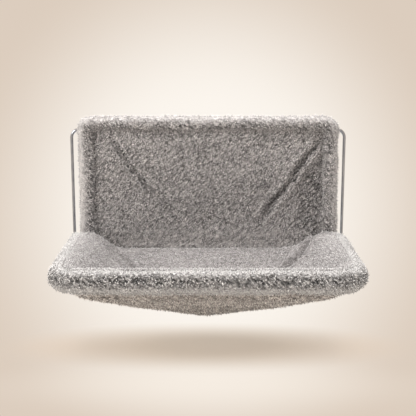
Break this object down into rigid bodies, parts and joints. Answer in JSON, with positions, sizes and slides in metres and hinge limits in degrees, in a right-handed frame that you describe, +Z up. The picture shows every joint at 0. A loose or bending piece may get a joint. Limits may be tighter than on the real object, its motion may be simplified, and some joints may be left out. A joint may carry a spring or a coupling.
{
  "type": "radiator cat bed",
  "caption": "Plush hammock seat with a padded rim that folds up to a plush back, on a steel wire loop with sliding hooks that hang over a radiator.",
  "frame": {"origin": "on the radiator's top front edge, midway between the two hooks: their liners rest on z=0 and the rubber buffers meet the radiator's front at y=0", "axes": "+X along the radiator, -Y into the room, +Z up"},
  "size_m": [0.462, 0.391, 0.296],
  "materials": {
    "bright_wire": "polished",
    "plush_field": "curly plush",
    "plush_roll": "curly plush",
    "plush_under": "curly plush",
    "backing_cloth": "woven",
    "fastener_tape": "woven tape",
    "label_cloth": "satin ribbon",
    "foam": "soft foam",
    "black_rubber": "matt",
    "black_nylon": "satin",
    "coated_steel": "powder coat",
    "zinc_steel": "zinc"
  },
  "bodies": {
    "hanger": {"back_border_roll": "plush_roll", "back_foam_top": "foam", "back_front_cloth": "plush_field", "back_hoop": "coated_steel", "back_lower_hem": "backing_cloth", "back_rear_cloth": "backing_cloth", "back_stay_rod": "coated_steel", "back_wadding": "foam", "care_label": "label_cloth", "closure_tabs": "fastener_tape", "hanger_loop": "bright_wire", "left_back_foam_side": "foam", "left_hinge_bracket": "coated_steel", "left_hinge_bush": "black_nylon", "left_hook_bracket": "zinc_steel", "left_hook_liner": "black_rubber", "left_hook_stud": "zinc_steel", "left_stud_washer": "zinc_steel", "left_top_clip": "black_nylon", "left_wall_buffer": "black_rubber", "left_wire_saddle": "zinc_steel", "right_back_foam_side": "foam", "right_hinge_bracket": "coated_steel", "right_hinge_bush": "black_nylon", "right_hook_bracket": "zinc_steel", "right_hook_liner": "black_rubber", "right_hook_stud": "zinc_steel", "right_stud_washer": "zinc_steel", "right_top_clip": "black_nylon", "right_wall_buffer": "black_rubber", "right_wire_saddle": "zinc_steel", "saddle_screws": "zinc_steel", "seat_stop_pins": "zinc_steel", "top_clip_screws": "zinc_steel"},
    "seat": {"hammock_inner_cloth": "plush_field", "hammock_under_cloth": "plush_under", "left_rim_foam_side": "foam", "pivot_caps": "black_nylon", "right_rim_foam_side": "foam", "rim_foam_front": "foam", "seat_hoop": "coated_steel", "seat_rear_bar": "coated_steel", "seat_rear_hem": "plush_roll", "seat_rim_roll": "plush_roll"},
    "left_hook": {"left_sliding_hook": "zinc_steel", "left_hook_sleeve": "black_rubber"},
    "right_hook": {"right_sliding_hook": "zinc_steel", "right_hook_sleeve": "black_rubber"},
    "left_wing": {"left_wing_nut": "zinc_steel"},
    "right_wing": {"right_wing_nut": "zinc_steel"}
  },
  "joints": [
    {"name": "seat_fold", "type": "hinge", "parent": "hanger", "child": "seat", "pos_m": [0, -0.0605, -0.166], "axis": [-1, 0, 0], "range_deg": [0, 88]},
    {"name": "left_hook_slide", "type": "slide", "parent": "hanger", "child": "left_hook", "axis": [0, 1, 0], "range_m": [-0.015, 0.025]},
    {"name": "right_hook_slide", "type": "slide", "parent": "hanger", "child": "right_hook", "axis": [0, 1, 0], "range_m": [-0.015, 0.025]},
    {"name": "left_wing_turn", "type": "hinge", "parent": "hanger", "child": "left_wing", "pos_m": [-0.12, 0.032, 0.015], "axis": [0, 0, 1], "continuous": true},
    {"name": "right_wing_turn", "type": "hinge", "parent": "hanger", "child": "right_wing", "pos_m": [0.12, 0.032, 0.015], "axis": [0, 0, 1], "continuous": true}
  ]
}
